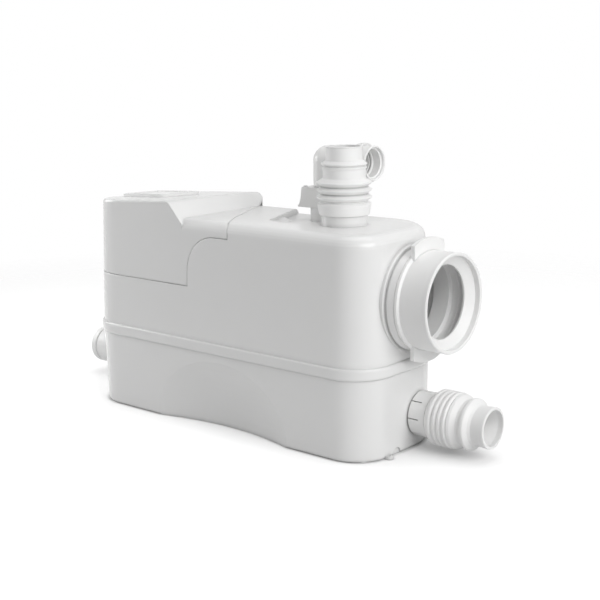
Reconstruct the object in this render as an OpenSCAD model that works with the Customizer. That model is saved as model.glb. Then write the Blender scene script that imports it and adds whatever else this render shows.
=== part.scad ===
// Sewage lifting unit: a floor-standing tank with a macerator pump under a
// lift-off motor cover, a pan inlet and a sink inlet on the right end, a spare
// inlet on the left end, and a sink inlet and a turning discharge on the deck.
// X runs along the casing, Y towards the wall behind it, Z up. The origin is
// the middle of the casing's plan, on the floor. Millimetres.

/* [Casing] */
// Length over the rim
casing_l = 453; // [430:1:480]
// Depth over the rim
casing_d = 176; // [170:1:190]
// Height of the deck beside the motor cover
deck_h = 248; // [240:1:260]
// Height of the rim's underside
rim_z = 92.5; // [90:0.5:100]
// Height of the rim band
rim_h = 13.5; // [12:0.5:18]
// How far the rim stands out past the walls
rim_out = 2.7; // [2.4:0.1:4]
// Wall of every moulded shell
wall = 3; // [2.5:0.1:3.5]
// Thickness of the tank's floor
floor_t = 3.5; // [3:0.1:5]
// Plan radius of the right front corner
front_r = 44; // [36:0.5:48]
// Plan radius of the left front corner
left_front_r = 52; // [40:0.5:56]
// Plan radius of the two back corners
back_r = 72; // [60:1:78]
// How far the tank's walls lean in at the floor
tank_draft = 1.3; // [0.5:0.1:3]
// How far the upper walls lean in at the deck
upper_draft = 4.5; // [2:0.1:6]
// Rounding of the tank's bottom edge
foot_round_r = 3; // [2:0.5:5]
// Rounding of the deck's edge
deck_round_r = 14; // [8:1:18]
// Height of the tank's wall inside the rim
lap_h = 9; // [7:0.5:10]
// Thickness of the gasket between tank and housing
gasket_t = 2; // [1.5:0.1:2.5]

/* [Front scoop] */
// Middle of the scoop in the tank's front
scoop_x = 8.9; // [-10:0.1:20]
// Depth of the scoop at the floor
scoop_in = 16.7; // [10:0.1:22]
// Plan radius of the scoop
scoop_r = 334.6; // [300:1:380]
// Radius of the curve that brings the scoop out to the front
scoop_arc = 200; // [180:5:240]

/* [Motor cover] */
// Height of the seam round the motor cover
seam_z = 169.4; // [165:0.5:175]
// Where the seam steps up on the front
seam_x = -40.6; // [-44:0.2:-36]
// Height where the seam starts to curve over
seam_arc_z = 187.2; // [184:0.2:190]
// Radius of the seam's curve
seam_r = 43.5; // [40:0.5:46]
// Where the seam meets the deck's front edge
seam_front_x = 25.6; // [20:0.2:30]
// Where the seam crosses the deck, nearer its front
seam_mid_x = -6.9; // [-10:0.1:-4]
// Where the seam crosses the deck, nearer its back
seam_back_x = -62; // [-66:0.5:-58]
// Gap all along the seam
seam_gap = 0.5; // [0.4:0.1:0.8]
// Height of the raised block above the deck, over the middle of the casing
block_h = 18.2; // [15:0.1:22]
// Fall of the block's top towards the left end, in degrees
block_fall = 3.05; // [2:0.05:4]
// Fall of the block's top towards the back, in degrees
block_back_fall = 1.75; // [0.5:0.05:2.5]
// Where the block's top ends on the right
block_x = -71; // [-76:0.5:-68]
// Lean of the block's right side, from level
block_slope = 48; // [42:1:60]
// Rounding along the top of the block
block_round_r = 5; // [4:0.5:6]
// Length of the bare plate on the block
plate_l = 79; // [60:1:80]
// Depth of the bare plate
plate_w = 66; // [50:1:72]
// Thickness of the bare plate
plate_t = 3.6; // [2:0.2:4]
// Middle of the plate along the casing
plate_x = -165; // [-168:0.5:-150]
// Middle of the plate across the casing
plate_y = -3; // [-8:0.5:5]

/* [Pan inlet] */
// Offset of the pan inlet from the middle
pan_y = 6.8; // [0:0.2:10]
// Height of the pan inlet
pan_z = 172.6; // [168:0.2:178]
// How far the pan sleeve reaches from the middle of the casing
pan_mouth_x = 276.4; // [270:0.2:290]
// Outer radius of the sleeve's mouth
pan_sleeve_r = 55.5; // [54:0.1:57]
// Radius of the hole in the sleeve's sealing lip
pan_lip_r = 41; // [38:0.5:43]
// Radius of the seat for the pan's spout in the sleeve's mouth
pan_seat_r = 51.5; // [50.5:0.1:52.5]
// Radius of the flange on the casing's wall
pan_flange_r = 60; // [59:0.5:63]
// Bore of the casing's pan collar
pan_bore_r = 50; // [48:0.5:51]
// Outer radius of the sleeve's two grip lugs
pan_lug_r = 69; // [64:0.5:71]
// Width of a grip lug
pan_lug_w = 57; // [40:1:64]

/* [Side inlets] */
// Offset of the side inlets from the middle
side_y = 20; // [14:0.5:24]
// Height of the side inlets
side_z = 38; // [36:0.2:42]
// Outer radius of the tank's side spigots
side_spigot_r = 22.8; // [21.6:0.2:23.2]
// Outer radius of the slotted collars
side_collar_r = 25.9; // [25.4:0.1:27]
// Where the slotted collars end
side_collar_x = 246.2; // [244:0.2:250]
// Number of slots in a collar
side_slots = 8; // [6:1:10]
// Where the ribbed sleeve on the right ends
side_mouth_x = 319.1; // [314:0.1:326]
// Outer radius of that sleeve's mouth
side_mouth_r = 23; // [22:0.1:24]
// Bore of that sleeve's mouth
side_bore_r = 20.2; // [19:0.1:20.6]
// Number of ribs on the ribbed sleeve
side_ribs = 4; // [3:1:4]
// Where the plug on the left ends
plug_x = 319.5; // [300:0.5:325]

/* [Top inlet] */
// Place of the top inlet along the casing
top_x = 136; // [132:0.5:140]
// Place of the top inlet across the casing
top_y = -5; // [-8:0.5:-2]
// Outer radius of the top inlet's stub
top_stub_r = 26.1; // [25:0.1:26.6]
// Bore of the top inlet's stub
top_stub_bore = 21.5; // [18:0.5:22]
// Height of the top inlet's mouth above the deck
top_mouth_h = 88; // [86:0.5:94]
// Bore of the top inlet's mouth
top_bore_r = 18.3; // [17:0.1:18.8]
// Number of ribs on the top sleeve
top_ribs = 3; // [2:1:3]

/* [Discharge] */
// Place of the discharge along the casing
out_x = 67; // [62:0.5:70]
// How far the discharge stands in from the back wall
out_in = 32.3; // [31.3:0.5:35.3]
// Height of the discharge's level leg above the deck
out_h = 64.3; // [60:0.1:70]
// Outer radius of the discharge elbow
out_r = 18.2; // [17.6:0.1:19]
// Bore of the discharge pipes
pipe_bore = 11.5; // [10:0.1:12]
// Wall of the discharge pipes
pipe_wall = 2.5; // [2.2:0.1:3]
// Where the discharge hose piece ends
out_mouth_x = 135.7; // [134:0.2:140]
// Height of the underside of the valve housing above the deck
valve_up = 9.3; // [8:0.1:14]
// Height of the valve housing
valve_h = 24.4; // [23.5:0.2:28]
// Width of the valve housing at its top
valve_w = 48.8; // [47:0.2:52]
// Depth of the valve housing
valve_d = 43.2; // [42.4:0.2:46]
// How far the foot of the valve housing flares out at each side
valve_flare = 5.9; // [3:0.1:7]

/* [Deck basin] */
// Middle of the basin in the deck
basin_x = 66; // [62:0.5:70]
// Middle of the basin across the casing
basin_y = 22; // [18:0.5:26]
// Radius of the basin at the deck
basin_r = 54; // [50:0.5:58]
// Depth of the basin
basin_h = 7; // [5:0.5:9]

/* [Pump and motor] */
// Place of the motor along the casing
motor_x = -112; // [-116:0.5:-108]
// Place of the motor across the casing
motor_y = 2; // [0:0.5:4]
// Depth of the motor bay's floor below the seam
bay_drop = 28.4; // [24:0.2:32]
// Outer radius of the motor's can
motor_r = 49.5; // [48:0.2:51]
// Height of the motor's can
motor_h = 72; // [66:1:76]
// Radius of the pump shaft
shaft_r = 6; // [5:0.1:7]
// Outer radius of the impeller
impeller_r = 33; // [30:0.2:34]
// Number of impeller vanes
impeller_vanes = 6; // [4:1:8]
// Height of the pump chamber's underside
pump_z = 32; // [30:0.5:34]
// Height of the pump chamber
pump_h = 28; // [28:0.5:32]
// Number of slots in the cutter ring
cutter_slots = 14; // [10:1:18]
// Number of blades on the cutter
cutter_blades = 3; // [2:1:4]

/* [Level switch and bay] */
// Place of the level switch along the casing
switch_x = -38; // [-40:0.5:-35]
// How far the level switch stands in from the front wall
switch_in = 49.3; // [48.3:0.5:51.3]
// Height of the dip tube's open end
dip_z = 20; // [14:1:30]
// Radius of the charcoal filter
filter_r = 12; // [10:0.5:13]
// Height of the charcoal filter
filter_h = 32; // [24:1:40]
// Radius of the motor's capacitor
capacitor_r = 13; // [10:0.5:14]
// Height of the motor's capacitor
capacitor_h = 58; // [40:1:66]
// Length of the terminal block
terminal_l = 40; // [30:1:44]

/* [Hidden] */

$fn = 96;

// Fits: a turning fit, an easy fit between rigid pieces, and a loose one
turn_fit = 0.05;
easy_fit = 0.3;
loose_fit = 1;
// Overlap that makes a cut run clean through a face
cut = 1;
round_steps = 6;

white = [0.93, 0.93, 0.92];
pure_white = [0.96, 0.96, 0.95];
soft_white = [0.92, 0.91, 0.89];
dark_rubber = [0.12, 0.12, 0.13];
steel = [0.7, 0.71, 0.73];
copper = [0.72, 0.43, 0.25];
grey = [0.45, 0.46, 0.48];
dark = [0.16, 0.17, 0.18];

// The plan: straight sides, small corners in front and large ones behind
half_l = casing_l / 2 - rim_out;
half_d = casing_d / 2 - rim_out;
rim_top = rim_z + rim_h;
back_x = half_l - back_r;
back_y = half_d - back_r;
mid_lap = 4;

// What stands on the deck, in the motor bay and in the wall of the bay
bay_z = seam_z - bay_drop;
valve_z = deck_h + valve_up;
out_y = half_d - out_in;
out_z = deck_h + out_h;
top_mouth_z = deck_h + top_mouth_h;
switch_y = switch_in - half_d;

tank_top = rim_z + lap_h;
shoulder_z = tank_top + gasket_t;

function tank_in(z) = tank_draft * (rim_z - z) / rim_z;
round_z = deck_h - deck_round_r;
function upper_in(z) = upper_draft * (z - rim_top) / (round_z - rim_top);

// Points of a rounded bottom or top edge, as [inset, height]
function foot_points(i, z, r) =
    [for (k = [0:round_steps]) let (t = 90 * k / round_steps)
        [i + r - r * sin(t), z + r - r * cos(t)]];
function top_points(i, z, r) =
    [for (k = [0:round_steps]) let (t = 90 - 90 * k / round_steps)
        [i + r - r * sin(t), z - r + r * cos(t)]];

// Profile p to the nearest micrometre, so that all parts of a wall meet
// exactly, and closed by straight lines to the inset core where it has one
function fine(p) = [for (v = p) [round(1000 * v[0]) / 1000, round(1000 * v[1]) / 1000]];
function closed(p, core) = fine(core == 0 ? p : concat([[core, p[0][1]]], p, [[core, p[len(p) - 1][1]]]));

// Corner of the plan; p lists [inset, height]
module corner(p, r, a, solid) {
    rotate(a) rotate_extrude(angle = 90) polygon([for (v = closed(p, solid ? r : 0)) [r - v[0], v[1]]]);
}

// Right half of a body with the casing's plan and a front corner of radius r,
// whose walls follow the profile p; it is solid inside, or a band where p is
// closed by itself
module plan_half(p, r, solid) {
    front_x = half_l - r;
    front_y = r - half_d;
    translate([front_x, front_y, 0]) corner(p, r, -90, solid);
    translate([back_x, back_y, 0]) corner(p, back_r, 0, solid);
    translate([0, back_y, 0]) rotate([90, 0, 0]) linear_extrude(back_y - front_y)
        polygon([for (v = closed(p, solid ? back_r + mid_lap : 0)) [half_l - v[0], v[1]]]);
    side = closed(p, solid ? half_d + mid_lap : 0);
    rotate([90, 0, 90]) linear_extrude(front_x) polygon([for (v = side) [v[0] - half_d, v[1]]]);
    rotate([90, 0, 90]) linear_extrude(back_x) polygon([for (v = side) [half_d - v[0], v[1]]]);
}

module plan_form(p, solid = true) {
    plan_half(p, front_r, solid);
    mirror([1, 0, 0]) plan_half(p, left_front_r, solid);
}

module tube_z(r, bore, z0, z1) {
    difference() {
        translate([0, 0, z0]) cylinder(h = z1 - z0, r = r);
        translate([0, 0, z0 - cut]) cylinder(h = z1 - z0 + 2 * cut, r = bore);
    }
}

module rod_x(x0, x1, r) {
    translate([x0, 0, 0]) rotate([0, 90, 0]) cylinder(h = x1 - x0, r = r);
}

module rod_y(y0, y1, r) {
    translate([0, y0, 0]) rotate([-90, 0, 0]) cylinder(h = y1 - y0, r = r);
}

// Solid of revolution about X; p lists [x, radius]
module turned_x(p) {
    rotate([0, 90, 0]) mirror([1, 0, 0]) rotate_extrude()
        polygon([for (q = p) [q[1], q[0]]]);
}

module turned_z(p) {
    rotate_extrude() polygon([for (q = p) [q[1], q[0]]]);
}

// Scoop in the tank's front, grown inwards by g
scoop_y = -half_d + tank_draft + scoop_in - scoop_r;
scoop_top = rim_z - 6;
scoop_n = 10;
module scoop(g) {
    arc_r = scoop_arc + g;
    arc_x = scoop_r - scoop_arc;
    arc_a = asin(min(scoop_top + g, arc_r - 1) / arc_r);
    translate([scoop_x, scoop_y, 0]) rotate_extrude(angle = 360)
        polygon(concat([[arc_x, -cut], [arc_x + arc_r, -cut]],
            [for (k = [0:scoop_n]) let (t = arc_a * k / scoop_n) [arc_x + arc_r * cos(t), arc_r * sin(t)]],
            [[arc_x, scoop_top + g]]));
}

// Casing screws go up inside closed posts in the tank
post_r = 6.5;
screw_r = 2.4;
screw_head_r = 4;
screw_seat_z = 78;
post_in = 5;
front_post_a = 42;
mid_post_x = 110;
back_post_a = 54;
function front_post(r) = [half_l - r + (r - post_in - wall) * cos(front_post_a),
    r - half_d - (r - post_in - wall) * sin(front_post_a)];
left_post = front_post(left_front_r);
back_post = [back_x + (back_r - post_in - wall) * cos(back_post_a),
    back_y + (back_r - post_in - wall) * sin(back_post_a)];
posts = [front_post(front_r), [-left_post[0], left_post[1]], back_post, [-back_post[0], back_post[1]],
    [mid_post_x, half_d - wall - post_in]];
boss_top = shoulder_z + 17;

// Floor fixing lugs and the round-headed niches beside them
lug_y = -41;
lug_r = 4.5;
lug_h = 3.5;
lug_hole_r = 1.8;
lug_x = half_l + 1.2;
niche_y = -23.5;
niche_r = 7.5;
niche_in = 1.8;
foot_pad_r = 9;
foot_pad_t = 2;
foot_x = [-176, 176];
foot_y = [-52, 52];

side_seat_x = 212;
side_spigot_x = side_collar_x + 9.8;
side_valve_bore = 18;
flap_t = 2.5;
flap_r = 20;
flap_pin_r = 1.5;
flap_knuckle_r = 3.2;
flap_knuckle_w = 12;
flap_ear_t = 3;
flap_pin_x = side_seat_x - easy_fit - flap_t / 2;
flap_pin_z = side_z + side_spigot_r + flap_knuckle_r;
flap_ear_root = 6;

module side_frame() {
    translate([0, side_y, side_z]) children();
}

module tank() {
    color(white) {
        difference() {
            union() {
                difference() {
                    union() {
                        difference() {
                            plan_form(concat(foot_points(tank_in(0), 0, foot_round_r),
                                [[0, rim_z], [0, tank_top]]));
                            plan_form(concat(foot_points(tank_in(0) + wall, floor_t, foot_round_r),
                                [[wall, rim_z], [wall, tank_top + cut]]));
                        }
                        scoop_wall();
                    }
                    scoop(0);
                }
                for (p = posts) translate(p) {
                    cylinder(h = tank_top, r = post_r);
                    cylinder(h = shoulder_z - easy_fit, r = post_r - 2);
                }
                for (m = [0, 1]) mirror([m, 0, 0]) {
                    side_frame() rod_x(side_seat_x, side_spigot_x, side_spigot_r);
                    flap_ears();
                }
                for (m = [0, 1]) mirror([m, 0, 0]) fixing_lug();
            }
            for (p = posts) translate(p) {
                translate([0, 0, -cut]) cylinder(h = screw_seat_z + cut, r = screw_head_r + loose_fit);
                translate([0, 0, -cut]) cylinder(h = shoulder_z + 2 * cut, r = screw_r + easy_fit);
            }
            for (m = [0, 1]) mirror([m, 0, 0]) {
                side_frame() rod_x(side_seat_x - cut, side_spigot_x + cut, side_valve_bore);
                translate([lug_x, lug_y, -cut]) cylinder(h = lug_h + 2 * cut, r = lug_hole_r);
                translate([half_l - tank_draft - niche_in, niche_y, 0]) rotate([0, 90, 0])
                    cylinder(h = 10, r = niche_r);
            }
            for (x = foot_x, y = foot_y) translate([x, y, -cut])
                cylinder(h = foot_pad_t + cut, r = foot_pad_r + easy_fit);
        }
    }
}

// The tank's inner skin over the scoop, one wall thick
module scoop_wall() {
    intersection() {
        scoop(wall);
        plan_form(concat(foot_points(tank_in(0), 0, foot_round_r), [[0, rim_z]]));
    }
}

module fixing_lug() {
    translate([lug_x, lug_y, 0]) cylinder(h = lug_h, r = lug_r);
    translate([lug_x - 8, lug_y - lug_r, 0]) cube([8, 2 * lug_r, lug_h]);
}

// Two ears on each side spigot carry the flap's pin
module flap_ears() {
    for (s = [-1, 1]) translate([0, side_y + s * (flap_knuckle_w / 2 + easy_fit + flap_ear_t / 2), 0])
        difference() {
            union() {
                translate([flap_pin_x, 0, flap_pin_z]) rod_y(-flap_ear_t / 2, flap_ear_t / 2, flap_knuckle_r);
                translate([flap_pin_x, -flap_ear_t / 2, flap_pin_z - flap_ear_root])
                    cube([half_l - wall + 0.2 - flap_pin_x, flap_ear_t, flap_ear_root + flap_knuckle_r]);
            }
            translate([flap_pin_x, 0, flap_pin_z]) rod_y(-flap_ear_t, flap_ear_t, flap_pin_r);
        }
}

module tank_gasket() {
    i = wall - easy_fit;
    color(dark_rubber) plan_form([[easy_fit, tank_top], [easy_fit, shoulder_z], [i, shoulder_z], [i, tank_top]], false);
}

// Seam between motor cover and housing: its front view and its plan, both
// grown by g on the housing's side
seam_n = 12;
far = 400;
seam_arc_x = seam_x + seam_r;
function seam_front(g) = concat(
    [[-far, far], [-far, seam_z - g], [seam_x + g, seam_z - g]],
    [for (k = [0:seam_n]) let (t = 180 - 90 * k / seam_n)
        [seam_arc_x + (seam_r - g) * cos(t), seam_arc_z + (seam_r - g) * sin(t)]],
    [[seam_front_x + g, seam_arc_z + seam_r - g], [seam_front_x + g, far]]);

seam_mid_y = -33.6;
seam_back_y = 75.7;
seam_slope = (seam_back_x - seam_mid_x) / (seam_back_y - seam_mid_y);
seam_turn = [seam_mid_x + 15, seam_mid_y - 23];
function bend(a, b, c, t) = (1 - t) * (1 - t) * a + 2 * t * (1 - t) * b + t * t * c;
function seam_line(g) = concat(
    [[seam_front_x + g, -half_d - 10]],
    [for (k = [0:6]) bend([seam_front_x + g, -half_d + 4], seam_turn + [g, 0], [seam_mid_x + g, seam_mid_y], k / 6)],
    [[seam_back_x + g + seam_slope * (half_d + 10 - seam_back_y), half_d + 10]]);

module seam_space(g) {
    intersection() {
        translate([0, far / 2, 0]) rotate([90, 0, 0]) linear_extrude(far) polygon(seam_front(g));
        linear_extrude(far) polygon(concat([[-far, -half_d - 10]], seam_line(g), [[-far, half_d + 10]]));
    }
}

module bay_side(g, z0, z1) {
    translate([0, 0, z0]) linear_extrude(z1 - z0)
        polygon(concat([[-far, -half_d - 10]], seam_line(g), [[-far, half_d + 10]]));
}

// Outside of the upper casing, up to the deck
rim_lip = 1.4;
module upper_outer() {
    plan_form(concat(
        [[rim_lip - rim_out, rim_z], [0.3 - rim_out, rim_z + 2], [-rim_out, rim_top - 3],
            [0.4 - rim_out, rim_top - 1.2], [1.2 - rim_out, rim_top - 0.3], [0, rim_top]],
        top_points(upper_draft, deck_h, deck_round_r)));
}

module upper_inner() {
    plan_form(concat([[-easy_fit, rim_z - cut], [-easy_fit, shoulder_z], [wall, shoulder_z], [wall, rim_top]],
        top_points(upper_draft + wall, deck_h - wall, deck_round_r - wall)));
}

// Inside of the walls, a little into them, for what is moulded on to them
module upper_core(i) {
    plan_form(concat([[i, shoulder_z], [i, rim_top]], top_points(upper_draft + i, deck_h - i, deck_round_r - i)));
}

tongue_t = 2;
tongue_h = 6;
tongue_root = 5;
ledge_w = 5;
bay_hole_r = 46;

module housing() {
    color(white) {
        difference() {
            union() {
                difference() {
                    upper_outer();
                    upper_inner();
                    seam_space(seam_gap);
                    basin(0);
                }
                difference() {
                    intersection() {
                        upper_core(wall - 0.5);
                        union() {
                            bay_side(seam_gap + wall, bay_z - wall, bay_z);
                            partition();
                            basin_floor();
                        }
                    }
                    basin(0);
                }
                tongue();
                ledge();
                pan_collar();
                top_stub();
                outlet_neck();
                for (p = posts) translate([p[0], p[1], shoulder_z]) cylinder(h = boss_top - shoulder_z, r = post_r - 1);
            }
            translate([motor_x, motor_y, bay_z - wall - cut]) cylinder(h = wall + 2 * cut, r = bay_hole_r);
            translate([switch_x, switch_y, bay_z - wall - cut]) cylinder(h = wall + 2 * cut, r = dip_bore);
            translate([filter_x, filter_y, bay_z - wall - cut]) cylinder(h = wall + 2 * cut, r = filter_r - 4);
            translate([0, pan_y, pan_z]) rod_x(pan_root_x - cut, collar_end_x + cut, pan_bore_r);
            translate([top_x, top_y, deck_h - 30]) cylinder(h = 80, r = top_stub_bore);
            translate([out_x, out_y, deck_h - basin_h - 30]) cylinder(h = 80, r = pipe_bore + pipe_wall + easy_fit);
            for (p = posts) translate([p[0], p[1], shoulder_z - cut]) cylinder(h = boss_top - shoulder_z - 2, r = screw_r - 0.4);
            for (a = bracket_screw_a) translate([motor_x, motor_y, bay_z - wall - cut]) rotate(a)
                translate([bracket_pcd / 2, 0, 0]) cylinder(h = wall + 2 * cut, r = bracket_screw_r - 0.2);
            translate([gland_x, 0, gland_z]) rod_y(half_d - 20, half_d + 5, gland_r);
        }
    }
}

// Wall between the motor bay and the inlet chamber, and the ledge on it that
// the motor cover rests on
module partition() {
    difference() {
        bay_side(seam_gap + wall, bay_z - wall, deck_h - cut);
        bay_side(seam_gap, bay_z - wall - cut, deck_h + cut);
    }
}

module ledge() {
    intersection() {
        upper_core(wall + easy_fit);
        difference() {
            bay_side(seam_gap + wall / 2, deck_h - 2 * wall - easy_fit, deck_h - wall - easy_fit);
            bay_side(-ledge_w, 0, deck_h);
        }
    }
}

// Tongue inside the seam that the motor cover slips over
module tongue() {
    intersection() {
        difference() {
            upper_core(wall - 0.5);
            upper_core(wall + easy_fit + tongue_t);
        }
        translate([-far, -half_d, seam_z - seam_gap - tongue_root]) cube([far + seam_x - 2, 2 * half_d, tongue_root - 0.2]);
    }
    intersection() {
        difference() {
            upper_core(wall + easy_fit);
            upper_core(wall + easy_fit + tongue_t);
        }
        bay_side(-2 * wall, seam_z - seam_gap - 2, seam_z + tongue_h);
        translate([-far, -half_d, 0]) cube([far + seam_x - 2, 2 * half_d, far]);
    }
}

// Shallow round basin in the deck, open to the back, where the discharge stands
basin_wall_x = 20;
basin_slope = -0.42;
basin_right_x = 106;
basin_flat = 24;
module basin(g) {
    difference() {
        union() {
            translate([basin_x, basin_y, 0]) turned_z([[deck_h - basin_h - g, 0], [deck_h - basin_h - g, basin_r - basin_flat + g],
                [deck_h + cut - g, basin_r + basin_flat / basin_h + g], [deck_h + cut - g, 0]]);
            translate([basin_x - far / 2, basin_y, deck_h - basin_h - g])
                cube([far / 2 + basin_right_x - basin_x + g, half_d, basin_h + cut]);
        }
        translate([0, 0, deck_h - basin_h - 2 * wall]) linear_extrude(far)
            polygon([[-far, -far], [basin_wall_x + basin_slope * (-far - 25.5) - g, -far],
                [basin_wall_x + basin_slope * (far - 25.5) - g, far], [-far, far]]);
    }
}

// The skin under the basin
module basin_floor() {
    basin(wall);
}

collar_end_x = 236;
pan_flange_x = half_l + 0.4;
pan_root_x = half_l - 30;
module pan_collar() {
    translate([0, pan_y, pan_z]) {
        turned_x([[pan_root_x, 0], [pan_flange_x - 1, 0], [collar_end_x, 0], [collar_end_x, pan_flange_r - 3.2],
            [pan_flange_x + 3, pan_flange_r - 2.6], [pan_flange_x + 2, pan_flange_r - 4.2],
            [pan_flange_x, pan_flange_r - 4.2], [pan_flange_x, pan_flange_r - 0.6],
            [pan_flange_x - 0.8, pan_flange_r], [pan_root_x, pan_flange_r]]);
    }
}

top_stub_z = deck_h + 20;
module top_stub() {
    translate([top_x, top_y, 0]) tube_z(top_stub_r, top_stub_bore, deck_h - wall - 4, top_stub_z);
}

neck_r = 22;
neck_top = valve_z;
module outlet_neck() {
    translate([out_x, out_y, 0])
        tube_z(neck_r, pipe_bore + pipe_wall + easy_fit, deck_h - basin_h - wall, neck_top);
}

// Block on the motor cover: a rounded form that leans to the left and back
block_z = deck_h + block_h;
module block_tilt() {
    translate([block_x, 0, block_z]) rotate([-block_back_fall, -block_fall, 0])
        translate([-block_x, 0, -block_z]) children();
}

module block_solid(g) {
    run = (block_h + 6) / tan(block_slope);
    intersection() {
        block_tilt() plan_form(concat([[upper_in(seam_z) - 9 + g, seam_z - 20]],
            top_points(upper_in(block_z) - 1 + g, block_z - g, block_round_r)));
        translate([0, far / 2, 0]) rotate([90, 0, 0]) linear_extrude(far)
            polygon(concat([[-far, 0], [-far, far], [block_x - g - 12, far], [block_x - g - 12, block_z + 4]],
                [for (k = [0:6]) let (t = 90 - block_slope * k / 6, r = 9)
                    [block_x - g - 6 + r * cos(t), block_z + 0.6 - g - r + r * sin(t)]],
                [[block_x - g + run, block_z - block_h - 6], [block_x - g + run, 0]]));
    }
}

module cover_form(g) {
    intersection() {
        plan_form([[g, rim_top], [g + upper_draft, round_z], [g + upper_in(block_z + 20), block_z + 20]]);
        union() {
            block_solid(g);
            plan_form(concat([[g, rim_top]], top_points(upper_draft + g, deck_h - g, deck_round_r - g)));
        }
    }
}

module motor_cover() {
    color(white) difference() {
        intersection() {
            cover_form(0);
            seam_space(0);
        }
        difference() {
            cover_form(wall);
            translate([-far, -half_d, 0]) cube([2 * far, 2 * half_d, seam_z - cut]);
        }
    }
}

module cover_plate() {
    r = 7;
    color(pure_white) block_tilt() translate([plate_x, plate_y, block_z + 0.05]) difference() {
        linear_extrude(plate_t) union() {
            square([plate_l - 2 * r, plate_w], center = true);
            square([plate_l, plate_w - 2 * r], center = true);
            for (x = [-1, 1], y = [-1, 1]) translate([x * (plate_l / 2 - r), y * (plate_w / 2 - r)]) circle(r = r);
        }
        translate([0, 0, plate_t - 0.8]) linear_extrude(2) union() {
            square([plate_l - 10 - r, plate_w - 10], center = true);
            square([plate_l - 10, plate_w - 10 - r], center = true);
        }
    }
}

module casing_screws() {
    color(steel) for (p = posts) translate([p[0], p[1], 0]) {
        difference() {
            translate([0, 0, screw_seat_z - 3]) cylinder(h = 3, r = screw_head_r);
            translate([0, 0, screw_seat_z - 3 - cut]) cylinder(h = 2 + cut, r = 1.6, $fn = 6);
        }
        translate([0, 0, screw_seat_z - 0.5]) cylinder(h = boss_top - 4 - screw_seat_z, r = screw_r - 0.4);
    }
}

module foot_pads() {
    color(dark_rubber) for (x = foot_x, y = foot_y) translate([x, y, 0]) cylinder(h = foot_pad_t, r = foot_pad_r);
}

// Rubber sleeve for the pan's spout: outer barrel, grip lugs and sealing lip
module pan_sleeve() {
    base = collar_end_x + easy_fit;
    mouth = pan_mouth_x;
    r = pan_sleeve_r;
    color(soft_white) translate([0, pan_y, pan_z]) {
        turned_x([[half_l - 6, pan_bore_r - easy_fit - 3], [half_l - 6, pan_bore_r - easy_fit], [base, pan_bore_r - easy_fit],
            [base, r + 1.2], [base + 1.2, r + 1.6], [base + 3.6, r + 1.6], [base + 4.6, r + 0.2], [base + 5.6, r - 0.9],
            [mouth - 7, r - 0.5], [mouth - 1.4, r], [mouth, r - 0.9], [mouth, r - 2.6], [mouth - 0.8, pan_seat_r],
            [mouth - 6.8, pan_seat_r], [mouth - 7.4, pan_seat_r - 1.6], [mouth - 14, pan_lip_r], [mouth - 16, pan_lip_r],
            [mouth - 17, pan_lip_r + 1.4], [mouth - 11.4, pan_seat_r - 2.2], [mouth - 11.4, r - 4],
            [mouth - 24, r - 4.2], [mouth - 25.5, r - 7], [mouth - 27.5, r - 7], [mouth - 29, r - 4.4],
            [base + 4, r - 4.4], [base + 2, pan_bore_r - easy_fit - 3]]);
        for (s = [0, 180]) rotate([s, 0, 0]) intersection() {
            difference() {
                rod_x(base + 2.4, base + 7.2, pan_lug_r);
                rod_x(base, base + 9, r - 3);
            }
            translate([base, -pan_lug_w / 2, 0]) cube([pan_lug_r, pan_lug_w, pan_lug_r]);
        }
    }
}

// Slotted collar that holds a side sleeve on its spigot
collar_start_x = half_l + 0.3;
module slotted_collar() {
    slot_w = 1.2;
    slot_l = 14;
    side_frame() difference() {
        turned_x([[collar_start_x, side_spigot_r + easy_fit], [collar_start_x, side_collar_r - 0.8],
            [collar_start_x + 0.8, side_collar_r], [side_collar_x - 0.6, side_collar_r + 0.2], [side_collar_x, side_collar_r - 0.4],
            [side_collar_x, side_spigot_r + easy_fit]]);
        for (k = [0:side_slots - 1]) rotate([360 * k / side_slots, 0, 0])
            translate([collar_start_x - cut, -slot_w / 2, side_spigot_r - 2]) cube([slot_l + cut, slot_w, 8]);
    }
}

module right_collar() {
    color(pure_white) slotted_collar();
}

module left_collar() {
    color(pure_white) mirror([1, 0, 0]) slotted_collar();
}

// Ribbed and stepped rubber sleeve on the right spigot
rib_pitch = 6.4;
module right_sleeve() {
    x0 = side_collar_x + easy_fit;
    rib_x0 = x0 + 5;
    e = rib_x0 + side_ribs * rib_pitch;
    bore = side_spigot_r + easy_fit;
    m = side_mouth_x;
    ribs = [for (k = [0:side_ribs - 1]) each [[rib_x0 + k * rib_pitch, 30.4], [rib_x0 + (k + 0.3) * rib_pitch, 32.1],
        [rib_x0 + (k + 0.62) * rib_pitch, 32.1], [rib_x0 + (k + 0.9) * rib_pitch, 30.4]]];
    color(soft_white) side_frame() turned_x(concat(
        [[x0, bore], [x0, 26.6], [x0 + 1, 27.2], [x0 + 4, 30.2]], ribs,
        [[e + 1, 31.2], [e + 3.8, 30.4], [e + 6.3, 28.3], [e + 8.9, 26.3], [e + 12, 26.1], [e + 15.2, 28.3],
            [e + 16.6, 29.2], [e + 19.4, 29], [e + 20.7, 27.5], [e + 23, 24], [e + 25.9, 22.4],
            [m - 1, side_mouth_r + 0.4], [m, side_mouth_r], [m, side_bore_r], [m - 6, side_bore_r],
            [m - 20, side_bore_r - 4.2], [m - 21.5, side_bore_r - 4.2], [m - 24, side_bore_r + 0.8],
            [e + 8, 24.2], [e, 26], [x0 + 11, 26], [x0 + 9.5, bore]]));
}

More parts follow.
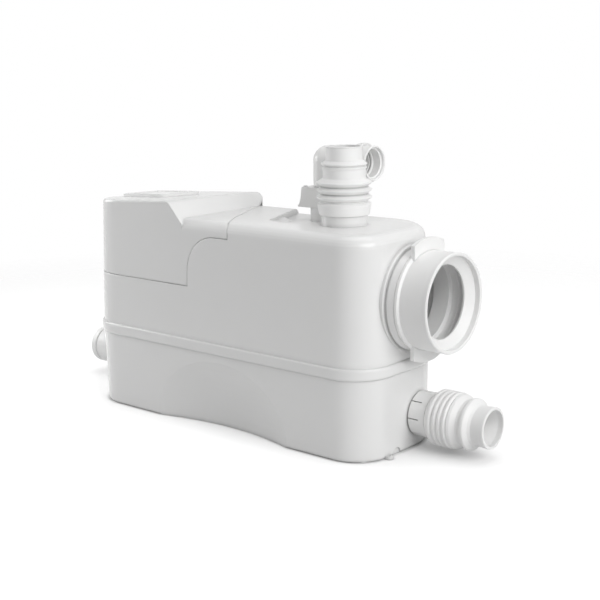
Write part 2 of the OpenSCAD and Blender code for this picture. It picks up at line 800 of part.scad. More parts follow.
// Plug with a domed end on the left spigot
module left_plug() {
    x0 = side_collar_x + easy_fit;
    bore = side_spigot_r + easy_fit;
    color(soft_white) mirror([1, 0, 0]) side_frame() turned_x([[x0, bore], [x0, 26.4], [x0 + 1, 27], [x0 + 9, 27],
        [x0 + 10.4, 25.4], [plug_x - 13.4, 25], [plug_x - 12.6, 23.4], [plug_x - 10.6, 23.4], [plug_x - 9.8, 24.8],
        [plug_x - 2.4, 24.8], [plug_x - 0.8, 24], [plug_x, 22.4], [plug_x, 0], [plug_x - 3, 0], [plug_x - 3, 20.4],
        [side_spigot_x + 2, 20.4], [side_spigot_x + 2, bore]]);
}

module side_flap() {
    side = flap_pin_x - flap_t / 2;
    difference() {
        union() {
            side_frame() rod_x(side, side + flap_t, flap_r);
            translate([flap_pin_x, side_y, flap_pin_z]) rod_y(-flap_knuckle_w / 2, flap_knuckle_w / 2, flap_t / 2 + 1);
            translate([side, side_y - flap_knuckle_w / 2, side_z + flap_r - 4])
                cube([flap_t, flap_knuckle_w, flap_pin_z - side_z - flap_r + 4]);
        }
        translate([flap_pin_x, side_y, flap_pin_z]) rod_y(-flap_knuckle_w, flap_knuckle_w, flap_pin_r + turn_fit);
    }
}

module flap_pin() {
    w = flap_knuckle_w / 2 + easy_fit + flap_ear_t;
    translate([flap_pin_x, side_y, flap_pin_z]) rod_y(-w, w, flap_pin_r);
}

module right_flap() {
    color(dark_rubber) side_flap();
}

module left_flap() {
    color(dark_rubber) mirror([1, 0, 0]) side_flap();
}

module right_flap_pin() {
    color(steel) flap_pin();
}

module left_flap_pin() {
    color(steel) mirror([1, 0, 0]) flap_pin();
}

// Ribbed and stepped rubber sleeve on the top stub
top_rib_z = deck_h + 27.5;
top_rib_pitch = 8.2;
module top_sleeve() {
    bore = top_stub_r + easy_fit;
    m = top_mouth_z;
    z0 = deck_h + 12;
    ribs = [for (k = [0:top_ribs - 1]) each [[top_rib_z + k * top_rib_pitch, 26.6],
        [top_rib_z + (k + 0.42) * top_rib_pitch, 31.1], [top_rib_z + (k + 0.56) * top_rib_pitch, 31.1],
        [top_rib_z + (k + 0.94) * top_rib_pitch, 26.2]]];
    rib_end = top_rib_z + top_ribs * top_rib_pitch;
    color(soft_white) translate([top_x, top_y, 0]) turned_z(concat(
        [[z0, bore], [z0, 28.1], [z0 + 1, 28.6], [z0 + 11, 30.3], [z0 + 12.4, 30.2], [z0 + 13.4, 28.6],
            [z0 + 14.6, 26.8]], ribs,
        [[rib_end + 0.4, 24.4], [rib_end + 1.2, 24], [m - 26.6, 24], [m - 25.2, 24.2], [m - 24, 25.2],
            [m - 22.6, 25.2], [m - 21.6, 24], [m - 20.6, 24.4], [m - 20, 25.8], [m - 18.8, 25.8], [m - 17.8, 24.2],
            [m - 15.6, 20.9], [m - 1.2, 20.5], [m - 0.8, 21.4], [m, 21.2], [m, top_bore_r], [m - 15, top_bore_r],
            [m - 17, 17], [m - 20, 17], [m - 22, 21.4], [m - 40, 21.4], [z0 + 16, 23.2], [z0 + 12, bore]]));
}

// Valve housing with a flared foot, over the neck in the basin
valve_top = valve_z + valve_h;
flap_x = out_x - 15.5;
seat_z = valve_z + 3;
spigot_r = 16.95;
valve_room_r = 19.6;
valve_knuckle_r = 1.95;
valve_pin_z = seat_z + easy_fit + valve_knuckle_r;
valve_pin_r = 1;
valve_pin_l = 14;
module valve_housing() {
    w = valve_w / 2;
    r = valve_flare * 2.6;
    color(white) difference() {
        translate([out_x, out_y + valve_d / 2, 0]) rotate([90, 0, 0]) linear_extrude(valve_d)
            polygon(concat([[-w - valve_flare, valve_z], [w + valve_flare, valve_z]],
                [for (k = [0:6]) let (t = 52 * k / 6)
                    [w + valve_flare - r * 0.384 + r * (1 - sin(t)) * 0.384, valve_z + 2 + r * (1 - cos(t)) * 2]],
                [[w, valve_top - 1], [w - 1, valve_top], [-w + 1, valve_top], [-w, valve_top - 1]],
                [for (k = [6:-1:0]) let (t = 52 * k / 6)
                    [-w - valve_flare + r * 0.384 - r * (1 - sin(t)) * 0.384, valve_z + 2 + r * (1 - cos(t)) * 2]]));
        translate([out_x, out_y, valve_z - cut]) cylinder(h = valve_h, r = pipe_bore);
        translate([out_x, out_y, seat_z]) cylinder(h = valve_h - 3 - 2.7, r = valve_room_r);
        translate([out_x, out_y, valve_top - 4]) cylinder(h = 4 + cut, r = spigot_r + turn_fit);
        translate([flap_x, out_y, valve_pin_z]) rod_y(-valve_pin_l, valve_pin_l, valve_pin_r + turn_fit);
    }
}

module valve_screws() {
    color(steel) for (x = [-1, 1], y = [-1, 1])
        translate([out_x + x * (valve_w / 2 - 3.6), out_y + y * (valve_d / 2 - 3.4), valve_top]) difference() {
            cylinder(h = 1.2, r = 2.4);
            translate([0, 0, 0.5]) cylinder(h = 2, r = 1.1, $fn = 6);
        }
}

module discharge_flap() {
    color(dark_rubber) difference() {
        union() {
            translate([out_x, out_y, seat_z + easy_fit]) cylinder(h = flap_t, r = pipe_bore + 1.8);
            translate([flap_x, out_y - 4, seat_z + easy_fit]) cube([8, 8, flap_t]);
            translate([flap_x, out_y, valve_pin_z]) rod_y(-4, 4, valve_knuckle_r);
        }
        translate([flap_x, out_y, valve_pin_z]) rod_y(-6, 6, valve_pin_r + turn_fit);
    }
}

module discharge_flap_pin() {
    color(steel) translate([flap_x, out_y, valve_pin_z]) rod_y(-valve_pin_l, valve_pin_l, valve_pin_r);
}

// Tight elbow that turns on the valve housing
elbow_bore = out_r - 2.4;
hose_x0 = out_x + 30;
module elbow_legs(r, low, right) {
    translate([out_x, out_y, low]) cylinder(h = out_z - low, r = r);
    translate([out_x, out_y, out_z]) sphere(r = r);
    translate([out_x, out_y, out_z]) rod_x(0, right, r);
}

module discharge_elbow() {
    color(white) difference() {
        union() {
            elbow_legs(out_r, valve_top + easy_fit, hose_x0 - out_x);
            translate([out_x, out_y, valve_top - 3]) cylinder(h = 8, r = spigot_r);
            translate([0, out_y, out_z]) rod_x(hose_x0 - 1, hose_x0 + 20, out_r - 2);
        }
        translate([out_x, out_y, valve_top - 4]) cylinder(h = out_z - valve_top + 4, r = spigot_r - 2.6);
        translate([out_x, out_y, out_z]) sphere(r = spigot_r - 2.6);
        translate([0, out_y, out_z]) rod_x(out_x, hose_x0 + 21, spigot_r - 3.4);
    }
}

// Stepped rubber hose piece on the elbow, with its clamp
hose_r = 20.3;
hose_bore = 16.2;
clamp_r = 22.8;
clamp_w = 6.4;
clamp_x = out_mouth_x - 20.4;
module outlet_hose() {
    bore = out_r - 2 + easy_fit;
    m = out_mouth_x;
    x0 = hose_x0 + easy_fit;
    color(soft_white) translate([0, out_y, out_z]) turned_x([[x0, bore], [x0, hose_r - 0.8], [x0 + 0.8, hose_r - 0.2],
        [clamp_x - 1.6, hose_r - 0.2], [clamp_x - 1, hose_r - 1.2], [clamp_x + clamp_w + 1, hose_r - 1.2],
        [clamp_x + clamp_w + 1.6, hose_r - 0.2], [m - 6, hose_r - 0.4], [m - 1, hose_r], [m, hose_r - 0.5],
        [m, hose_r - 1.8], [m - 1, hose_r - 2.4], [m - 3.6, hose_r - 2.6], [m - 4.4, hose_bore], [m - 14.4, hose_bore],
        [m - 15.4, hose_bore - 1.1], [x0 + 21, hose_bore - 1.1], [x0 + 21, bore]]);
}

module hose_clamp() {
    color(steel) translate([0, out_y, out_z]) difference() {
        union() {
            rod_x(clamp_x, clamp_x + clamp_w, clamp_r);
            translate([clamp_x, 6, -clamp_r - 1]) cube([clamp_w, 11, 8]);
        }
        rod_x(clamp_x - cut, clamp_x + clamp_w + cut, hose_r - 1.2 + easy_fit);
    }
}

// Riser: from the pump chamber along the tank, then up to the valve housing
pipe_r = pipe_bore + pipe_wall;
outlet_off = out_y - motor_y;
outlet_y = motor_y + outlet_off;
outlet_z = pump_z + pump_h / 2;
outlet_x = motor_x + 62;
riser_x0 = outlet_x + easy_fit;
module riser_legs(r, g) {
    translate([0, out_y, outlet_z]) rod_x(riser_x0 - g, out_x, r);
    translate([out_x, out_y, outlet_z]) sphere(r = r);
    translate([out_x, out_y, outlet_z]) cylinder(h = neck_top - outlet_z - 0.5 + 2 * g, r = r);
}

module riser_pipe() {
    color(grey) difference() {
        riser_legs(pipe_r, 0);
        riser_legs(pipe_bore, cut);
    }
}

module riser_coupling() {
    color(dark_rubber) translate([0, out_y, outlet_z]) turned_x([[outlet_x - 14, pipe_r + easy_fit], [outlet_x - 14, pipe_r + 3],
        [outlet_x - 10, pipe_r + 3], [outlet_x - 9, pipe_r + 2.4], [outlet_x + 9, pipe_r + 2.4], [outlet_x + 10, pipe_r + 3],
        [outlet_x + 14, pipe_r + 3], [outlet_x + 14, pipe_r + easy_fit]]);
}

module at_motor(z) {
    translate([motor_x, motor_y, z]) children();
}

// Bracket that hangs the pump under the bay's floor and carries the motor
bracket_z = bay_z + 1.5;
bracket_t = 7;
bracket_r = 58.5;
bracket_pcd = 108;
bracket_screw_a = [45, 135, 225, 315];
bracket_screw_r = 2;
column_r = 30;
pump_top = pump_z + pump_h;
lid_t = 4;
seal_r = 12;
bearing_r = 15;
bearing_h = 9;
motor_z = bracket_z + bracket_t;
module pump_bracket() {
    color(grey) difference() {
        union() {
            at_motor(bracket_z) cylinder(h = bracket_t, r = bracket_r);
            at_motor(pump_top) cylinder(h = bracket_z - pump_top + 1, r = column_r);
            at_motor(pump_top) linear_extrude(lid_t) polygon(spiral(chamber_wall));
            for (a = [0:60:300]) at_motor(pump_top + lid_t) rotate(a) translate([column_r - 2, -1.5, 0])
                cube([9, 3, bracket_z - pump_top - lid_t + 1]);
        }
        at_motor(pump_top - cut) cylinder(h = far, r = seal_r);
        at_motor(motor_z - bearing_h) cylinder(h = far, r = bearing_r + easy_fit / 3);
        for (a = bracket_screw_a) at_motor(bracket_z - cut) rotate(a) translate([bracket_pcd / 2, 0, 0])
            cylinder(h = bracket_t + 2 * cut, r = bracket_screw_r + easy_fit);
    }
}

module bracket_gasket() {
    color(dark_rubber) difference() {
        at_motor(0) tube_z(bracket_r - 0.5, bay_hole_r + 0.5, bay_z, bracket_z);
        for (a = bracket_screw_a) at_motor(bay_z - cut) rotate(a) translate([bracket_pcd / 2, 0, 0])
            cylinder(h = 4, r = bracket_screw_r + easy_fit);
    }
}

module bracket_screws() {
    color(steel) for (a = bracket_screw_a) at_motor(0) rotate(a) translate([bracket_pcd / 2, 0, 0]) {
        translate([0, 0, motor_z]) cylinder(h = 2.4, r = 3.4);
        translate([0, 0, bay_z - wall]) cylinder(h = motor_z - bay_z + wall + 0.5, r = bracket_screw_r - 0.2);
    }
}

// Pump chamber: a spiral that grows clockwise to its outlet
chamber_r0 = impeller_r + 4;
chamber_grow = outlet_off + pipe_bore + 0.5 - chamber_r0;
spiral_n = 36;
function spiral(g) = [for (k = [0:spiral_n]) let (t = 90 - 360 * k / spiral_n, r = chamber_r0 + g + chamber_grow * k / spiral_n)
    [r * cos(t), r * sin(t)]];
chamber_wall = 3;
eye_r = 17;
module pump_chamber() {
    color(grey) difference() {
        union() {
            at_motor(pump_z) linear_extrude(pump_h) polygon(spiral(chamber_wall));
            at_motor(outlet_z) translate([0, outlet_off, 0]) rod_x(0, outlet_x - motor_x, pipe_r);
        }
        at_motor(pump_z + chamber_wall) linear_extrude(pump_h) polygon(spiral(0));
        at_motor(outlet_z) translate([0, outlet_off, 0]) rod_x(-2, outlet_x - motor_x + cut, pipe_bore);
        at_motor(pump_z - cut) cylinder(h = pump_h, r = eye_r);
    }
}

impeller_z = pump_z + 7;
module impeller() {
    color(grey) difference() {
        union() {
            at_motor(impeller_z + 11) cylinder(h = 3, r = impeller_r);
            at_motor(impeller_z) cylinder(h = 17, r = 11);
            for (k = [0:impeller_vanes - 1]) at_motor(impeller_z) rotate(360 * k / impeller_vanes) vane();
        }
        at_motor(impeller_z - cut) cylinder(h = 30, r = shaft_r);
    }
}

// Curved vane, swept back from the hub to the disc's edge
module vane() {
    vane_r = impeller_r * 0.65;
    translate([vane_r + 6, 0, 0]) rotate(105) rotate_extrude(angle = 73) translate([vane_r, 0]) square([2.4, 12]);
}

ring_r = 32;
ring_low = pump_z - 20;
module cutter_ring() {
    color(steel) difference() {
        union() {
            at_motor(0) tube_z(ring_r, ring_r - 3, ring_low, pump_z);
            at_motor(0) tube_z(ring_r + 5, ring_r - 3, pump_z - 3, pump_z);
        }
        for (k = [0:cutter_slots - 1]) at_motor(ring_low + 4) rotate(360 * k / cutter_slots)
            translate([ring_r - 6, -1.8, 0]) cube([10, 3.6, 11]);
    }
}

cutter_r = 27.5;
module cutter() {
    color(steel) difference() {
        union() {
            at_motor(ring_low + 2) cylinder(h = 12, r = 10);
            for (k = [0:cutter_blades - 1]) at_motor(ring_low + 5) rotate(360 * k / cutter_blades) linear_extrude(5)
                polygon([[6, -5], [cutter_r - 2, -4], [cutter_r, 2], [cutter_r - 4, 3.5], [6, 7]]);
        }
        at_motor(ring_low) cylinder(h = 20, r = shaft_r);
    }
}

module shaft_seal() {
    color(dark) at_motor(0) tube_z(seal_r - easy_fit / 3, shaft_r + turn_fit, pump_top + 1, pump_top + 11);
}

shaft_low = ring_low + 1;
shaft_top = motor_z + motor_h + 9;
module pump_shaft() {
    color(steel) at_motor(shaft_low) cylinder(h = shaft_top - shaft_low, r = shaft_r);
}

module lower_bearing() {
    color(steel) at_motor(0) tube_z(bearing_r, shaft_r + turn_fit, motor_z - bearing_h, motor_z - 0.5);
}

end_t = 6;
end_z = motor_z + motor_h;
module upper_bearing() {
    color(steel) at_motor(0) tube_z(bearing_r - 2, shaft_r + turn_fit, end_z - 2, end_z + 6);
}

stator_z = motor_z + 12;
stator_h = motor_h - 22;
rotor_r = 27;
module rotor() {
    color(steel) at_motor(0) tube_z(rotor_r, shaft_r, stator_z - 1, stator_z + stator_h + 1);
}

// Laminated stator with its slots
module stator() {
    n = 24;
    color(grey) at_motor(0) difference() {
        tube_z(motor_r - wall - easy_fit, rotor_r + 0.6, stator_z, stator_z + stator_h);
        for (k = [0:n - 1]) rotate(360 * k / n) translate([rotor_r - 1, -1.2, stator_z - cut])
            cube([9, 2.4, stator_h + 2 * cut]);
    }
}

module windings() {
    color(copper) at_motor(0) {
        turned_z([[stator_z - 8, 31], [stator_z - 8, 40], [stator_z - 6, 42.5], [stator_z, 43], [stator_z, 29.5], [stator_z - 6, 29.5]]);
        turned_z([[stator_z + stator_h, 29.5], [stator_z + stator_h, 43], [stator_z + stator_h + 6, 42.5],
            [stator_z + stator_h + 8, 40], [stator_z + stator_h + 8, 31], [stator_z + stator_h + 6, 29.5]]);
    }
}

module motor_can() {
    color(steel) at_motor(0) tube_z(motor_r, motor_r - wall, motor_z, end_z);
}

bolt_r = motor_r + 3.2;
bolt_a = [0, 90, 180, 270];
module end_bracket() {
    color(grey) at_motor(0) difference() {
        union() {
            translate([0, 0, end_z]) cylinder(h = end_t, r = motor_r + 0.5);
            translate([0, 0, end_z - 3]) cylinder(h = end_t + 5.5, r = bearing_r + 2);
            for (a = bolt_a) rotate(a) translate([bolt_r, 0, end_z]) cylinder(h = end_t, r = 4);
            for (a = [30:60:330]) rotate(a) translate([bearing_r, -1.5, end_z + end_t - 1]) cube([motor_r - bearing_r - 4, 3, 3.5]);
        }
        translate([0, 0, end_z - 2]) cylinder(h = 8 + easy_fit, r = bearing_r - 2 + easy_fit / 3);
        translate([0, 0, end_z - 10]) cylinder(h = 22.5 - 2, r = shaft_r + loose_fit);
        for (a = bolt_a) rotate(a) translate([bolt_r, 0, end_z - cut]) cylinder(h = end_t + 2 * cut, r = 1.8 + easy_fit);
    }
}

module motor_bolts() {
    color(steel) at_motor(0) for (a = bolt_a) rotate(a) translate([bolt_r, 0, 0]) {
        translate([0, 0, motor_z]) cylinder(h = end_z + end_t - motor_z, r = 1.8);
        translate([0, 0, end_z + end_t]) cylinder(h = 3, r = 3.2, $fn = 6);
    }
}

// Dip tube, capsule and plunger that turn the water level into a switch stroke
dip_bore = 11;
dip_r = dip_bore + 2.4;
module dip_tube() {
    color(grey) translate([switch_x, switch_y, 0]) difference() {
        union() {
            tube_z(dip_r, dip_bore - 0.01, dip_z, bay_z - wall);
            tube_z(dip_r + 4, dip_bore - 0.01, bay_z - wall - 2.4, bay_z - wall);
        }
        for (a = [0, 90]) rotate(a) translate([-20, -2, dip_z - cut]) cube([40, 4, 5]);
    }
}

capsule_r = 19;
capsule_h = 20;
plunger_r = 3;
plunger_stroke = 1.5;
diaphragm_z = bay_z + 7;
module switch_capsule() {
    color(dark) translate([switch_x, switch_y, 0]) difference() {
        union() {
            translate([0, 0, bay_z]) cylinder(h = capsule_h, r = capsule_r);
            translate([0, 0, bay_z + 8]) cylinder(h = 4, r = capsule_r + 2);
        }
        translate([0, 0, bay_z + 2]) cylinder(h = capsule_h - 5, r = capsule_r - 2.4);
        translate([0, 0, bay_z - cut]) cylinder(h = 8, r = 4);
        translate([0, 0, bay_z + 10]) cylinder(h = 30, r = plunger_r + turn_fit);
    }
}

module switch_plunger() {
    color(white) translate([switch_x, switch_y, 0]) {
        translate([0, 0, diaphragm_z]) cylinder(h = 1.2, r = capsule_r - 2.4 - easy_fit);
        translate([0, 0, diaphragm_z]) cylinder(h = 4, r = 9);
        translate([0, 0, diaphragm_z]) cylinder(h = capsule_h - 7 + 2, r = plunger_r);
    }
}

// Snap switch on two posts over the capsule
module microswitch() {
    z0 = bay_z + capsule_h;
    color(dark) translate([switch_x, switch_y, z0]) {
        for (s = [-1, 1]) translate([s * 12 - 2.5, -4, 0]) cube([5, 8, 4 + easy_fit]);
        translate([-14.5, -4, 4 + easy_fit]) cube([29, 8, 15]);
        for (s = [-1, 0, 1]) translate([s * 8 - 1.5, -0.4, 19]) cube([3, 0.8, 6]);
        translate([0, 0, 3.8]) cylinder(h = 1, r = 1.5);
    }
}

module_w = 48;
module_x = seam_x - 21;
module control_module() {
    y0 = -half_d + wall + upper_in(210) + tongue_t + 2 * easy_fit;
    color(dark) difference() {
        translate([module_x, y0, bay_z]) cube([module_w, 16, 60]);
        for (k = [0:5]) translate([module_x + 5 + 7 * k, y0 + 14.5, bay_z + 12]) cube([3, 3, 36]);
    }
}

capacitor_x = motor_x - 74;
capacitor_y = motor_y - 42;
module capacitor() {
    color(grey) translate([capacitor_x, capacitor_y, bay_z]) {
        cylinder(h = capacitor_h, r = capacitor_r);
        for (s = [-1, 1]) translate([s * 5 - 1.5, -0.4, capacitor_h - 1]) cube([3, 0.8, 7]);
    }
}

module terminal_block() {
    color(soft_white) translate([motor_x - 59, -half_d + wall + upper_in(160) + tongue_t + 3, bay_z]) difference() {
        cube([terminal_l, 12, 15]);
        for (k = [0:3]) translate([6 + (terminal_l - 12) / 3 * k, 6, 8]) cylinder(h = 10, r = 3);
    }
}

filter_x = motor_x - 76;
filter_y = motor_y + 34;
module filter_cartridge() {
    color(dark) translate([filter_x, filter_y, 0]) difference() {
        translate([0, 0, bay_z]) cylinder(h = filter_h, r = filter_r);
        translate([0, 0, bay_z - cut]) cylinder(h = 4, r = filter_r - 4);
    }
}

module filter_cap() {
    z0 = bay_z + filter_h;
    color(white) translate([filter_x, filter_y, 0]) difference() {
        translate([0, 0, z0]) cylinder(h = 3, r = filter_r);
        for (k = [-2:2]) translate([-8, k * 4 - 0.8, z0 - cut]) cube([16, 1.6, 6]);
    }
}

gland_x = -120;
gland_z = bay_z + 12;
gland_r = 8;
nut_t = 6;
module cable_gland() {
    y1 = half_d;
    color(dark) translate([gland_x, 0, gland_z]) difference() {
        union() {
            rod_y(y1 - 14, y1 + 1.6, gland_r - 0.1);
            rod_y(y1 - upper_in(gland_z - gland_r - 3) + turn_fit, y1 + rim_out - 0.2, gland_r + 3);
            translate([0, y1 - wall - upper_in(gland_z + 12) - nut_t, 0]) rotate([-90, 0, 0])
                cylinder(h = nut_t - turn_fit, r = gland_r + 2.4, $fn = 6);
        }
        rod_y(y1 - 16, y1 + 6, 4);
    }
}

tank();
tank_gasket();
housing();
motor_cover();
cover_plate();
casing_screws();
foot_pads();
pan_sleeve();
right_collar();
right_sleeve();
right_flap();
right_flap_pin();
left_collar();
left_plug();
left_flap();
left_flap_pin();
top_sleeve();
valve_housing();
valve_screws();
discharge_flap();
discharge_flap_pin();
discharge_elbow();
outlet_hose();
hose_clamp();
riser_pipe();
riser_coupling();
pump_bracket();
bracket_gasket();
bracket_screws();
pump_chamber();
impeller();
cutter_ring();
cutter();
shaft_seal();
pump_shaft();
lower_bearing();
upper_bearing();
rotor();
stator();
windings();
motor_can();
end_bracket();
motor_bolts();
dip_tube();
switch_capsule();
switch_plunger();
microswitch();
control_module();
capacitor();
terminal_block();
filter_cartridge();
filter_cap();
cable_gland();
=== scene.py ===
"""Looks of a box-shaped sewage lifting unit: glossy moulded shells, soft sleeves, pump and motor.

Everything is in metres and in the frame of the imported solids: X along the casing, Y towards
the wall behind it, Z up, with the origin in the middle of the casing's plan, on the floor.
The solids keep their shapes. This script gives each of them its finish, and adds the studio:
floor, sky, softboxes and the photograph's camera.
"""

import logging
import math
from dataclasses import dataclass, fields
from enum import Enum
from typing import Any, Mapping, Optional, Protocol, Union

import bpy
from mathutils import Matrix, Vector

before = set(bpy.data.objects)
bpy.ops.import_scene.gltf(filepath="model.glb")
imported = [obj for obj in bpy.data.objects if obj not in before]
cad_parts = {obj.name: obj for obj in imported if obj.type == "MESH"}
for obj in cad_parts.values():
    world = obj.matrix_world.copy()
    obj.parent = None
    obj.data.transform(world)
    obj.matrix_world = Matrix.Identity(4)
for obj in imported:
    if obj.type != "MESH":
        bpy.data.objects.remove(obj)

LOG = logging.getLogger("lifting_unit")
MM = 0.001
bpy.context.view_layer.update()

# Rays that an edge or a crevice is looked up with
SHADE_SAMPLES = 6
# A wave texture of scale 1 repeats after this length
WAVE_LENGTH = 0.1 * math.pi
# Strength of each finer layer of noise, as a share of the layer before it
NOISE_ROUGHNESS = 0.55
# Share of a surface's colour that is left where painted shade in seams is deepest
CREVICE_SHADE_TINT = 0.35

Colour = tuple[float, float, float]
Term = Union["Value", float]
Paint = Union["Value", Colour]

WHITE: Colour = (1.0, 1.0, 1.0)


def tinted(colour: Colour, tint: Colour) -> Colour:
    """A colour seen through a tint."""
    red, green, blue = (c * t for c, t in zip(colour, tint))
    return red, green, blue


def grey(level: float) -> Colour:
    """An even grey."""
    return level, level, level


class Grain(Enum):
    """Direction in which a finish is drawn out, as the squeeze of each axis."""

    NONE = (1.0, 1.0, 1.0)
    ALONG_Z = (1.0, 1.0, 0.04)
    ACROSS_Z = (0.04, 0.04, 1.0)


class Ray(Enum):
    """Kinds of light path that a shader can tell apart, by their outputs' names."""

    CAMERA = "Is Camera Ray"
    GLOSSY = "Is Glossy Ray"
    TRANSMISSION = "Is Transmission Ray"


class Value:
    """One output of a shader node, written in expressions: each operator adds its Math node."""

    def __init__(self, tree: "ShaderTree", socket: bpy.types.NodeSocket) -> None:
        """Wraps a socket.

        Args:
            tree: the shader that the socket belongs to.
            socket: the output that this value stands for.
        """
        self.tree = tree
        self.socket = socket

    def _math(self, operation: str, left: Term, right: Term) -> "Value":
        """The Math node of one operation on two terms."""
        return self.tree.node("ShaderNodeMath", {"operation": operation}, {0: left, 1: right})

    def __add__(self, other: Term) -> "Value":
        """Sum."""
        return self._math("ADD", self, other)

    __radd__ = __add__

    def __sub__(self, other: Term) -> "Value":
        """Difference."""
        return self._math("SUBTRACT", self, other)

    def __rsub__(self, other: Term) -> "Value":
        """Difference with a plain number on the left."""
        return self._math("SUBTRACT", other, self)

    def __mul__(self, other: Term) -> "Value":
        """Product."""
        return self._math("MULTIPLY", self, other)

    __rmul__ = __mul__

    def clamped(self) -> "Value":
        """The value held between 0 and 1."""
        return self.tree.node("ShaderNodeClamp", {}, {"Value": self})

    def about(self, middle: float, spread: float) -> "Value":
        """A value about 0.5 moved and scaled.

        Args:
            middle: what 0.5 becomes.
            spread: distance between what 0 and 1 become.

        Returns:
            The new value.
        """
        return middle + (self - 0.5) * spread


class ShaderTree:
    """The nodes of one material or of the world."""

    def __init__(self, owner: Union[bpy.types.Material, bpy.types.World], output_kind: str) -> None:
        """Starts with an output node and nothing else.

        Args:
            owner: the material or world.
            output_kind: the type of its output node.
        """
        owner.use_nodes = True
        self._owner = owner
        self._tree = owner.node_tree
        self._tree.nodes.clear()
        self._output = self._tree.nodes.new(output_kind)

    @classmethod
    def of_material(cls, name: str) -> "ShaderTree":
        """The empty shader of a new material."""
        return cls(bpy.data.materials.new(name), "ShaderNodeOutputMaterial")

    @classmethod
    def of_world(cls, name: str) -> "ShaderTree":
        """The empty shader of a new world."""
        return cls(bpy.data.worlds.new(name), "ShaderNodeOutputWorld")

    def node(self, kind: str, settings: Mapping[str, Any], inputs: Mapping[Any, Any],
             output: Union[int, str] = 0) -> Value:
        """Adds any node.

        Args:
            kind: the node's type.
            settings: its own properties.
            inputs: values or links of its sockets, by name or number.
            output: which output to return.

        Returns:
            The chosen output.
        """
        made = self._tree.nodes.new(kind)
        for name, value in settings.items():
            setattr(made, name, value)
        for key, value in inputs.items():
            if isinstance(value, Value):
                self._tree.links.new(value.socket, made.inputs[key])
            elif made.inputs[key].type == "RGBA":
                made.inputs[key].default_value = (*value, 1.0)
            else:
                made.inputs[key].default_value = value
        return Value(self, made.outputs[output])

    def place(self, grain: Grain = Grain.NONE) -> Value:
        """The point on the object in its own frame, squeezed along the finish's grain."""
        point = self.node("ShaderNodeTexCoord", {}, {}, "Object")
        return self.node("ShaderNodeVectorMath", {"operation": "MULTIPLY"}, {0: point, 1: grain.value})

    def noise(self, size: float, detail: float, grain: Grain = Grain.NONE) -> Value:
        """Soft noise.

        Args:
            size: width of one blotch, in metres.
            detail: how many finer layers it has.
            grain: how it is drawn out.

        Returns:
            A value about 0.5.
        """
        return self.node("ShaderNodeTexNoise", {}, {
            "Vector": self.place(grain), "Scale": 1.0 / size, "Detail": detail,
            "Roughness": NOISE_ROUGHNESS})

    def bands(self, pitch: float, waviness: float, detail: float = 2.0, detail_scale: float = 1.0) -> Value:
        """Soft bands stacked along Z.

        Args:
            pitch: distance from band to band, in metres.
            waviness: how far they leave a straight course.
            detail: how many finer layers their course has.
            detail_scale: how fine these layers are.

        Returns:
            A value from 0 between the bands to 1 on them.
        """
        return self.node("ShaderNodeTexWave", {"wave_type": "BANDS", "bands_direction": "Z"}, {
            "Vector": self.place(), "Scale": WAVE_LENGTH / pitch, "Distortion": waviness,
            "Detail": detail, "Detail Scale": detail_scale}, "Fac")

    def ray(self, kind: Ray) -> Value:
        """1 for rays of one kind and 0 for others."""
        return self.node("ShaderNodeLightPath", {}, {}, kind.value)

    def crevice(self, reach: float) -> Value:
        """How closed in the surface is.

        Args:
            reach: widest gap that counts as closed, in metres.

        Returns:
            A value from 0 in the open to 1 deep in a gap.
        """
        openness = self.node("ShaderNodeAmbientOcclusion", {"samples": SHADE_SAMPLES},
                             {"Distance": reach}, "AO")
        return 1.0 - openness

    def blend(self, factor: Term, first: Paint, second: Paint) -> Value:
        """Mixes two colours: the first at a factor of 0, the second at 1."""
        # Inputs 6 and 7 of the Mix node are its two colours, and output 2 is the mixed one
        return self.node("ShaderNodeMix", {"data_type": "RGBA"}, {0: factor, 6: first, 7: second}, 2)

    def rounded(self, radius: float) -> Value:
        """Normals that turn smoothly over edges within a radius in metres."""
        return self.node("ShaderNodeBevel", {"samples": SHADE_SAMPLES}, {"Radius": radius})

    def bump(self, height: Value, depth: float, normal: Value) -> Value:
        """Relief.

        Args:
            height: the relief, from 0 to 1.
            depth: its depth in metres.
            normal: the normals that it stands on.

        Returns:
            The bumped normals.
        """
        return self.node("ShaderNodeBump", {}, {
            "Height": height, "Distance": depth, "Strength": 1.0, "Normal": normal})

    def surface(self, colour: Paint, roughness: Term, normal: Value, **constants: float) -> Value:
        """The Principled shader.

        Args:
            colour: base colour.
            roughness: roughness.
            normal: bumped normals.
            constants: other sockets, by their names with underscores for spaces.

        Returns:
            The shader's output.
        """
        inputs: dict[str, Any] = {"Base Color": colour, "Roughness": roughness, "Normal": normal}
        inputs.update({name.replace("_", " "): value for name, value in constants.items()})
        return self.node("ShaderNodeBsdfPrincipled", {}, inputs)

    def finish(self, shader: Value) -> Union[bpy.types.Material, bpy.types.World]:
        """Links a shader to the output.

        Args:
            shader: the shader that covers the surface.

        Returns:
            The finished material or world.
        """
        self._tree.links.new(shader.socket, self._output.inputs["Surface"])
        return self._owner


class Finish(Protocol):
    """What every finish has: a name, the record's slot and a material."""

    name: str
    slot: str

    def material(self) -> bpy.types.Material:
        """Makes the material."""


@dataclass(frozen=True)
class CreviceShade:
    """Painted shade: how a finish's colour is darkened in seams, grooves and under edges.

    Attributes:
        share: how much of the dark tint a closed place takes.
        reach: widest gap that counts as closed, in metres.
        start: how closed in a place is before it darkens.
    """

    share: float
    reach: float
    start: float = 0.0

    def over(self, tree: ShaderTree, paint: Value, colour: Colour) -> Value:
        """Paints shade over a finish.

        Args:
            tree: the finish's shader.
            paint: the unshaded surface's colour.
            colour: its plain colour, which the painted shade darkens.

        Returns:
            The colour with its painted shade.
        """
        # Painted shade: the colour darkens where ambient occlusion finds the surface closed in
        closed = (tree.crevice(self.reach) - self.start).clamped() * self.share
        return tree.blend(closed.clamped(), paint, tinted(colour, grey(CREVICE_SHADE_TINT)))


